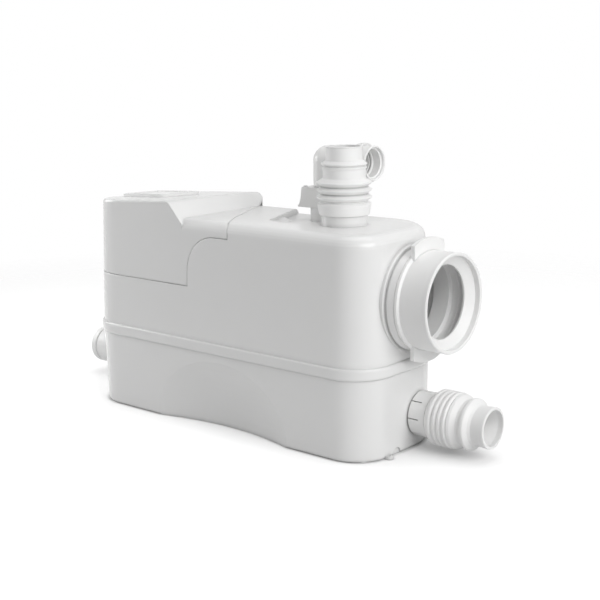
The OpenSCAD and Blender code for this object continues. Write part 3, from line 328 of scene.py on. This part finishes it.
@dataclass(frozen=True)
class MouldedPlastic:
    """Injection-moulded plastic: glossy or eased skin with a faint orange peel and flow marks.

    Attributes:
        name: the material's name.
        slot: the record's material slot, which this script does not use.
        colour: base colour.
        roughness: mean roughness, which scuffs of scuff_size vary by roughness_spread.
        peel_size: width of the orange peel's dimples, and peel_depth their depth.
        flow_size: width of the flow marks, and flow_tint what they do to the colour.
        edge_radius: radius by which edges look eased.
        grime: painted shade in the seams and under edges, if any.
    """

    name: str
    slot: str
    colour: Colour
    roughness: float = 0.2
    roughness_spread: float = 0.06
    scuff_size: float = 7.5 * MM
    peel_size: float = 2.2 * MM
    peel_depth: float = 0.006 * MM
    flow_size: float = 45 * MM
    flow_tint: Colour = (0.985, 0.985, 0.98)
    edge_radius: float = 0.7 * MM
    grime: Optional[CreviceShade] = None

    def material(self) -> bpy.types.Material:
        """Makes the plastic's material.

        Returns:
            The new material.
        """
        tree = ShaderTree.of_material(self.name)
        flow = tree.noise(self.flow_size, detail=3.0)
        paint = tree.blend(flow, self.colour, tinted(self.colour, self.flow_tint))
        # Painted shade in seams and under edges
        if self.grime:
            paint = self.grime.over(tree, paint, self.colour)
        roughness = tree.noise(self.scuff_size, detail=4.0).about(self.roughness, self.roughness_spread)
        peel = tree.noise(self.peel_size, detail=1.0)
        normal = tree.bump(peel, self.peel_depth, tree.rounded(self.edge_radius))
        return tree.finish(tree.surface(paint, roughness, normal))


@dataclass(frozen=True)
class SoftRubber:
    """Moulded rubber with an eased, slightly dusty skin.

    Attributes:
        name: the material's name.
        slot: the record's material slot, which this script does not use.
        colour: base colour.
        roughness: mean roughness, which patches of patch_size vary by roughness_spread.
        grain_size: width of the skin's grain, and grain_depth its depth.
        dust: colour of the dust, dust_size the width of its clouds and dust_share how much lies.
        specular: strength of the gloss, and sheen that of the soft shine at a low angle.
        edge_radius: radius by which edges look eased.
        grime: painted shade between the ribs, if any.
    """

    name: str
    slot: str
    colour: Colour
    roughness: float = 0.42
    roughness_spread: float = 0.12
    patch_size: float = 7 * MM
    grain_size: float = 0.9 * MM
    grain_depth: float = 0.012 * MM
    dust: Colour = (0.9, 0.89, 0.87)
    dust_size: float = 18 * MM
    dust_share: float = 0.12
    specular: float = 0.4
    sheen: float = 0.06
    edge_radius: float = 0.6 * MM
    grime: Optional[CreviceShade] = None

    def material(self) -> bpy.types.Material:
        """Makes the rubber's material.

        Returns:
            The new material.
        """
        tree = ShaderTree.of_material(self.name)
        paint = tree.blend(tree.noise(self.dust_size, detail=4.0) * self.dust_share, self.colour, self.dust)
        # Painted shade between the ribs
        if self.grime:
            paint = self.grime.over(tree, paint, self.colour)
        roughness = tree.noise(self.patch_size, detail=3.0).about(self.roughness, self.roughness_spread)
        grain = tree.noise(self.grain_size, detail=3.0)
        normal = tree.bump(grain, self.grain_depth, tree.rounded(self.edge_radius))
        return tree.finish(tree.surface(paint, roughness, normal, Specular_IOR_Level=self.specular,
                                        Sheen_Weight=self.sheen))


@dataclass(frozen=True)
class WorkedMetal:
    """Turned, drawn or rolled metal, with fine tool lines along its grain.

    Attributes:
        name: the material's name.
        slot: the record's material slot, which this script does not use.
        colour: base colour.
        roughness: mean roughness, which the tool lines vary by roughness_spread.
        grain: direction of the tool lines.
        line_size: width of the tool lines, and line_depth their depth.
        stain: tint of the stains, stain_size their width and stain_share their strength.
        edge_radius: radius by which edges look eased.
    """

    name: str
    slot: str
    colour: Colour
    roughness: float = 0.3
    roughness_spread: float = 0.2
    grain: Grain = Grain.ACROSS_Z
    line_size: float = 0.6 * MM
    line_depth: float = 0.01 * MM
    stain: Colour = (0.75, 0.72, 0.68)
    stain_size: float = 12 * MM
    stain_share: float = 0.6
    edge_radius: float = 0.3 * MM

    def material(self) -> bpy.types.Material:
        """Makes the metal's material.

        Returns:
            The new material.
        """
        tree = ShaderTree.of_material(self.name)
        lines = tree.noise(self.line_size, detail=3.0, grain=self.grain)
        stains = tree.noise(self.stain_size, detail=4.0) * self.stain_share
        paint = tree.blend(stains, self.colour, tinted(self.colour, self.stain))
        roughness = lines.about(self.roughness, self.roughness_spread)
        normal = tree.bump(lines, self.line_depth, tree.rounded(self.edge_radius))
        return tree.finish(tree.surface(paint, roughness, normal, Metallic=1.0))


@dataclass(frozen=True)
class CastMetal:
    """Sand-cast or die-cast alloy: pebbled skin and a dull sheen.

    Attributes:
        name: the material's name.
        slot: the record's material slot, which this script does not use.
        colour: base colour.
        roughness: mean roughness, which the pebbles vary by roughness_spread.
        pebble_size: width of the pebbles, and pebble_depth their depth.
        patch_size: width of the dull patches, and patch_tint how dark they are.
        metallic: how metallic the skin is.
        edge_radius: radius by which edges look eased.
    """

    name: str
    slot: str
    colour: Colour
    roughness: float = 0.45
    roughness_spread: float = 0.25
    pebble_size: float = 1.3 * MM
    pebble_depth: float = 0.05 * MM
    patch_size: float = 9 * MM
    patch_tint: float = 0.72
    metallic: float = 0.85
    edge_radius: float = 0.6 * MM

    def material(self) -> bpy.types.Material:
        """Makes the casting's material.

        Returns:
            The new material.
        """
        tree = ShaderTree.of_material(self.name)
        pebble = tree.noise(self.pebble_size, detail=4.0)
        patches = tree.noise(self.patch_size, detail=4.0)
        paint = tree.blend(patches, self.colour, tinted(self.colour, grey(self.patch_tint)))
        roughness = pebble.about(self.roughness, self.roughness_spread)
        normal = tree.bump(pebble, self.pebble_depth, tree.rounded(self.edge_radius))
        return tree.finish(tree.surface(paint, roughness, normal, Metallic=self.metallic))


@dataclass(frozen=True)
class StackedSheet:
    """A stack of punched steel sheets, seen as fine lines round the stack.

    Attributes:
        name: the material's name.
        slot: the record's material slot, which this script does not use.
        colour: colour between the sheets' edges.
        blued: colour of the sheets' edges, which lines and patches bring in by their shares.
        sheet: thickness of a sheet, depth the relief of its edge and waviness its play.
        patch_size: width of the patches.
        roughness: roughness between the lines, and line_roughness what a line adds.
        metallic: how metallic the edges are.
        edge_radius: radius by which edges look eased.
    """

    name: str
    slot: str
    colour: Colour
    blued: Colour = (0.1, 0.105, 0.13)
    line_share: float = 0.5
    patch_share: float = 0.3
    sheet: float = 1.0 * MM
    depth: float = 0.12 * MM
    waviness: float = 0.3
    patch_size: float = 6 * MM
    roughness: float = 0.45
    line_roughness: float = 0.1
    metallic: float = 0.9
    edge_radius: float = 0.3 * MM

    def material(self) -> bpy.types.Material:
        """Makes the stack's material.

        Returns:
            The new material.
        """
        tree = ShaderTree.of_material(self.name)
        lines = tree.bands(self.sheet, self.waviness)
        patches = tree.noise(self.patch_size, detail=3.0)
        paint = tree.blend(lines * self.line_share + patches * self.patch_share, self.colour, self.blued)
        roughness = self.roughness + lines * self.line_roughness
        normal = tree.bump(lines, self.depth, tree.rounded(self.edge_radius))
        return tree.finish(tree.surface(paint, roughness, normal, Metallic=self.metallic))


@dataclass(frozen=True)
class WoundWire:
    """Enamelled copper wire laid round a ring.

    Attributes:
        name: the material's name.
        slot: the record's material slot, which this script does not use.
        colour: the wire's colour, gap_tint the darkness of the painted shade between strands, strand_share
            their contrast.
        wire: thickness of the wire, depth its relief and waviness how loosely it lies.
        fold_detail: finer layers of its course, and fold_scale how fine they are.
        roughness: roughness in the gaps, and strand_roughness what a strand adds.
        metallic: how metallic the wire is, and coat the enamel over it.
        edge_radius: radius by which edges look eased.
    """

    name: str
    slot: str
    colour: Colour
    gap_tint: float = 0.35
    strand_share: float = 0.7
    wire: float = 0.9 * MM
    depth: float = 0.35 * MM
    waviness: float = 6.0
    fold_detail: float = 1.0
    fold_scale: float = 0.6
    roughness: float = 0.28
    strand_roughness: float = 0.1
    metallic: float = 0.75
    coat: float = 0.4
    edge_radius: float = 0.5 * MM

    def material(self) -> bpy.types.Material:
        """Makes the winding's material.

        Returns:
            The new material.
        """
        tree = ShaderTree.of_material(self.name)
        strands = tree.bands(self.wire, self.waviness, self.fold_detail, self.fold_scale)
        # Painted shade: the gaps between the strands are darkened
        gap_shade_colour = tinted(self.colour, grey(self.gap_tint))
        paint = tree.blend(strands * self.strand_share, gap_shade_colour, self.colour)
        roughness = self.roughness + strands * self.strand_roughness
        normal = tree.bump(strands, self.depth, tree.rounded(self.edge_radius))
        return tree.finish(tree.surface(paint, roughness, normal, Metallic=self.metallic,
                                        Coat_Weight=self.coat))


SHELL_WHITE: Colour = (0.86, 0.86, 0.858)

# Shell, cover, fittings and sleeves carry painted shade in their seams, grooves and under edges
SHELL = MouldedPlastic("shell_white_gloss", "shell_white", SHELL_WHITE, roughness=0.22,
                       edge_radius=2.2 * MM, grime=CreviceShade(share=0.6, reach=5 * MM))
COVER = MouldedPlastic("cover_white_gloss", "shell_white", SHELL_WHITE, roughness=0.22,
                       edge_radius=3.5 * MM, grime=CreviceShade(share=0.25, reach=3 * MM))
PLATE = MouldedPlastic("plate_white_gloss", "plate_white", (0.88, 0.88, 0.878), roughness=0.16)
FITTING = MouldedPlastic("fitting_white", "fitting_white", (0.9, 0.9, 0.895), roughness=0.26,
                         edge_radius=0.5 * MM, grime=CreviceShade(share=0.4, reach=3 * MM))
SLEEVE = SoftRubber("sleeve_white_rubber", "sleeve_rubber", (0.93, 0.93, 0.925),
                    dust=(0.9, 0.9, 0.895), dust_share=0.3, edge_radius=0.3 * MM,
                    grime=CreviceShade(share=2.0, reach=4 * MM, start=0.3))
SEAL = SoftRubber("seal_dark_rubber", "seal_rubber", (0.025, 0.025, 0.028), roughness=0.5,
                  dust=grey(0.12))
BLACK = MouldedPlastic("control_black_plastic", "black_plastic", (0.03, 0.031, 0.034), roughness=0.4,
                       flow_tint=grey(0.7), peel_size=0.8 * MM, peel_depth=0.02 * MM)
PUMP = MouldedPlastic("pump_grey_plastic", "pump_plastic", (0.2, 0.205, 0.215), roughness=0.4,
                      flow_tint=grey(0.85), peel_size=0.9 * MM, peel_depth=0.02 * MM)
STEEL = WorkedMetal("turned_steel", "steel", (0.62, 0.62, 0.63))
CAN = WorkedMetal("drawn_motor_can", "motor_steel", (0.5, 0.505, 0.52), roughness=0.34,
                  grain=Grain.ALONG_Z, line_size=1.2 * MM)
CASTING = CastMetal("cast_end_bracket", "cast_alloy", (0.52, 0.53, 0.54))
LAMINATION = StackedSheet("laminated_steel", "lamination", (0.32, 0.33, 0.36))
COPPER = WoundWire("enamelled_copper", "copper_wire", (0.72, 0.32, 0.12))


class Wardrobe:
    """Gives CAD nodes their finishes and makes each material once."""

    def __init__(self) -> None:
        """Starts with no material made and no node dressed."""
        self._made: dict[str, bpy.types.Material] = {}
        self.dressed: set[str] = set()

    def material(self, finish: Finish) -> bpy.types.Material:
        """The material of a finish.

        Args:
            finish: the finish wanted.

        Returns:
            Its material, made at its first use.
        """
        if finish.name not in self._made:
            self._made[finish.name] = finish.material()
        return self._made[finish.name]

    def dress(self, node: str, finish: Finish) -> None:
        """Puts a finish on a CAD node.

        Args:
            node: the node's name.
            finish: its finish.
        """
        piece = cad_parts[node]
        if not piece.material_slots:
            piece.data.materials.append(None)
        for material_slot in piece.material_slots:
            material_slot.material = self.material(finish)
        self.dressed.add(node)
        LOG.info("%s has %s", node, finish.name)


@dataclass(frozen=True)
class SubAssembly:
    """Pieces that are handled together: each field names a CAD node and holds its finish."""

    def dress(self, wardrobe: Wardrobe) -> None:
        """Dresses every node of the sub-assembly.

        Args:
            wardrobe: where the materials come from.
        """
        LOG.info("dressing %s", type(self).__name__)
        for piece in fields(self):
            wardrobe.dress(piece.name, getattr(self, piece.name))


@dataclass(frozen=True)
class Casing(SubAssembly):
    """Tank, housing, motor cover and what holds them together."""

    tank: Finish = SHELL
    housing: Finish = SHELL
    motor_cover: Finish = COVER
    cover_plate: Finish = PLATE
    tank_gasket: Finish = SEAL
    foot_pads: Finish = SEAL
    casing_screws: Finish = STEEL


@dataclass(frozen=True)
class Inlets(SubAssembly):
    """Pan sleeve, side sleeves and top sleeve with their collars and flaps."""

    pan_sleeve: Finish = SLEEVE
    right_collar: Finish = FITTING
    right_sleeve: Finish = SLEEVE
    right_flap: Finish = SEAL
    right_flap_pin: Finish = STEEL
    left_collar: Finish = FITTING
    left_plug: Finish = SLEEVE
    left_flap: Finish = SEAL
    left_flap_pin: Finish = STEEL
    top_sleeve: Finish = SLEEVE


@dataclass(frozen=True)
class Discharge(SubAssembly):
    """Riser, valve housing, turning elbow and hose piece."""

    valve_housing: Finish = FITTING
    valve_screws: Finish = STEEL
    discharge_flap: Finish = SEAL
    discharge_flap_pin: Finish = STEEL
    discharge_elbow: Finish = FITTING
    outlet_hose: Finish = SLEEVE
    hose_clamp: Finish = FITTING
    riser_pipe: Finish = PUMP
    riser_coupling: Finish = SEAL


@dataclass(frozen=True)
class Pump(SubAssembly):
    """Bracket, chamber, impeller and cutter."""

    pump_bracket: Finish = PUMP
    bracket_gasket: Finish = SEAL
    bracket_screws: Finish = STEEL
    pump_chamber: Finish = PUMP
    impeller: Finish = PUMP
    cutter_ring: Finish = STEEL
    cutter: Finish = STEEL
    shaft_seal: Finish = BLACK


@dataclass(frozen=True)
class Motor(SubAssembly):
    """Shaft, bearings, rotor, stator, windings, can and end bracket."""

    pump_shaft: Finish = STEEL
    lower_bearing: Finish = STEEL
    upper_bearing: Finish = STEEL
    rotor: Finish = LAMINATION
    stator: Finish = LAMINATION
    windings: Finish = COPPER
    motor_can: Finish = CAN
    end_bracket: Finish = CASTING
    motor_bolts: Finish = STEEL


@dataclass(frozen=True)
class Controls(SubAssembly):
    """Level switch, control module, terminals, filter and gland."""

    dip_tube: Finish = PUMP
    switch_capsule: Finish = BLACK
    switch_plunger: Finish = FITTING
    microswitch: Finish = BLACK
    control_module: Finish = BLACK
    capacitor: Finish = CAN
    terminal_block: Finish = FITTING
    filter_cartridge: Finish = BLACK
    filter_cap: Finish = FITTING
    cable_gland: Finish = BLACK


@dataclass(frozen=True)
class Softbox:
    """A square lamp that faces the unit.

    Attributes:
        name: the lamp's name.
        place: its middle.
        side: length of its side.
        power: its power in watts.
        target: the point that it faces.
    """

    name: str
    place: Vector
    side: float
    power: float
    target: Vector = Vector((0.0, 0.0, 0.15))

    def hang(self) -> None:
        """Adds the lamp."""
        data = bpy.data.lights.new(self.name, "AREA")
        data.shape = "SQUARE"
        data.size = self.side
        data.energy = self.power
        lamp = bpy.data.objects.new(self.name, data)
        bpy.context.scene.collection.objects.link(lamp)
        lamp.location = self.place
        lamp.rotation_euler = (self.target - self.place).to_track_quat("-Z", "Y").to_euler()


SOFTBOXES = (
    Softbox("right_softbox", Vector((2.1, -0.35, 1.25)), side=1.5, power=28.5),
    Softbox("front_softbox", Vector((1.5, -1.5, 1.3)), side=1.2, power=5.0),
    Softbox("left_softbox", Vector((-0.8, -0.25, 0.45)), side=0.4, power=2.8),
    Softbox("top_softbox", Vector((0.1, 0.3, 2.3)), side=1.8, power=16.5),
    Softbox("back_softbox", Vector((0.3, 1.9, 1.5)), side=1.4, power=1.3))


@dataclass(frozen=True)
class Viewpoint:
    """The photograph's camera, found by fitting the casing's edges.

    Attributes:
        place: where the lens is.
        azimuth: its turn about Z from looking along Y, in degrees.
        elevation: how far it looks down, in degrees.
        roll: its turn about its own axis, in degrees.
        focal_length: focal length, in millimetres.
        sensor: width of the sensor, in millimetres.
        near_clip: where the view starts.
    """

    place: Vector = Vector((938.6, -1030.9, 435.2)) * MM
    azimuth: float = 40.293
    elevation: float = 11.862
    roll: float = -0.781
    focal_length: float = 69.894
    sensor: float = 36.0
    near_clip: float = 20 * MM

    def set_up(self) -> None:
        """Adds the camera and makes it the scene's own."""
        data = bpy.data.cameras.new("photo_camera")
        data.lens = self.focal_length
        data.sensor_width = self.sensor
        data.clip_start = self.near_clip
        camera = bpy.data.objects.new("photo_camera", data)
        turn = (Matrix.Rotation(math.radians(self.azimuth), 4, "Z")
                @ Matrix.Rotation(math.radians(90.0 - self.elevation), 4, "X")
                @ Matrix.Rotation(math.radians(self.roll), 4, "Z"))
        camera.matrix_world = Matrix.Translation(self.place) @ turn
        bpy.context.scene.collection.objects.link(camera)
        bpy.context.scene.camera = camera


@dataclass(frozen=True)
class Studio:
    """White floor that fades into a white background, even sky light and softboxes.

    Attributes:
        floor_half: half of the floor's side.
        floor_white: how much light the floor gives back.
        floor_lift: glow that makes the floor look white, where it is open.
        fade_start: distance at which the floor starts to fade, and fade_end where it is gone.
        contact_reach: reach of the painted contact shadow under the unit, and contact_share its strength.
        hollow_reach: reach of the wide painted shadow round the unit, and hollow_share its strength.
        shade: colour of the glow where the painted shadow is deepest.
        sky: strength of the sky as light, and sky_in_gloss as gloss shows it.
    """

    floor_half: float = 3.0
    floor_white: float = 0.75
    floor_lift: float = 0.53
    fade_start: float = 0.55
    fade_end: float = 1.3
    contact_reach: float = 5 * MM
    contact_share: float = 1.3
    hollow_reach: float = 70 * MM
    hollow_share: float = 0.9
    shade: Colour = grey(0.05)
    sky: float = 0.175
    sky_in_gloss: float = 0.9

    def floor(self) -> None:
        """Lays the floor, which looks white and keeps the unit's shadow."""
        mesh = bpy.data.meshes.new("floor")
        half = self.floor_half
        mesh.from_pydata([(-half, -half, 0), (half, -half, 0), (half, half, 0), (-half, half, 0)],
                         [], [(0, 1, 2, 3)])
        floor = bpy.data.objects.new("floor", mesh)
        bpy.context.scene.collection.objects.link(floor)
        mesh.materials.append(self._floor_material())

    def _floor_material(self) -> bpy.types.Material:
        """A pale floor that glows where the background shows, and lets it through far away.

        Returns:
            The new material.
        """
        tree = ShaderTree.of_material("studio_floor")
        seen = (tree.ray(Ray.CAMERA) + tree.ray(Ray.GLOSSY) + tree.ray(Ray.TRANSMISSION)).clamped()
        pale = tree.node("ShaderNodeBsdfDiffuse", {}, {"Color": grey(self.floor_white)})
        # Painted shadow on the floor: ambient occlusion darkens the glow, a thin painted contact shadow
        # under the unit and a wide one round it
        line = tree.crevice(self.contact_reach) * self.contact_share
        wide_shadow = tree.crevice(self.hollow_reach) * self.hollow_share
        colour = tree.blend((line + wide_shadow).clamped(), WHITE, self.shade)
        glow = tree.node("ShaderNodeEmission", {}, {"Color": colour, "Strength": seen * self.floor_lift})
        lit = tree.node("ShaderNodeAddShader", {}, {0: pale, 1: glow})
        away = tree.node("ShaderNodeVectorMath", {"operation": "LENGTH"}, {0: tree.place()}, "Value")
        faded = ((away - self.fade_start) * (1.0 / (self.fade_end - self.fade_start))).clamped()
        clear = tree.node("ShaderNodeBsdfTransparent", {}, {})
        return tree.finish(tree.node("ShaderNodeMixShader", {}, {0: faded * seen, 1: lit, 2: clear}))

    def sky_light(self) -> None:
        """Sets the world: even light on the unit, pale in its gloss and white to the camera."""
        tree = ShaderTree.of_world("studio")
        unseen = self.sky + tree.ray(Ray.GLOSSY) * (self.sky_in_gloss - self.sky)
        strength = unseen + tree.ray(Ray.CAMERA) * (1.0 - unseen)
        background = tree.node("ShaderNodeBackground", {}, {"Color": WHITE, "Strength": strength})
        bpy.context.scene.world = tree.finish(background)

    def set_up(self) -> None:
        """Lays the floor, sets the sky and hangs the lamps."""
        self.floor()
        self.sky_light()
        for lamp in SOFTBOXES:
            lamp.hang()
        bpy.context.scene.view_settings.view_transform = "Standard"


def main() -> None:
    """Dresses the unit, sets up the studio and says which nodes were left out."""
    wardrobe = Wardrobe()
    for part in (Casing(), Inlets(), Discharge(), Pump(), Motor(), Controls()):
        part.dress(wardrobe)
    bare = sorted(set(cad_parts) - wardrobe.dressed)
    if bare:
        LOG.warning("no finish on %s", ", ".join(bare))
    Studio().set_up()
    Viewpoint().set_up()


if __name__ == "__main__":
    logging.basicConfig(level=logging.INFO, format="%(message)s")
    main()
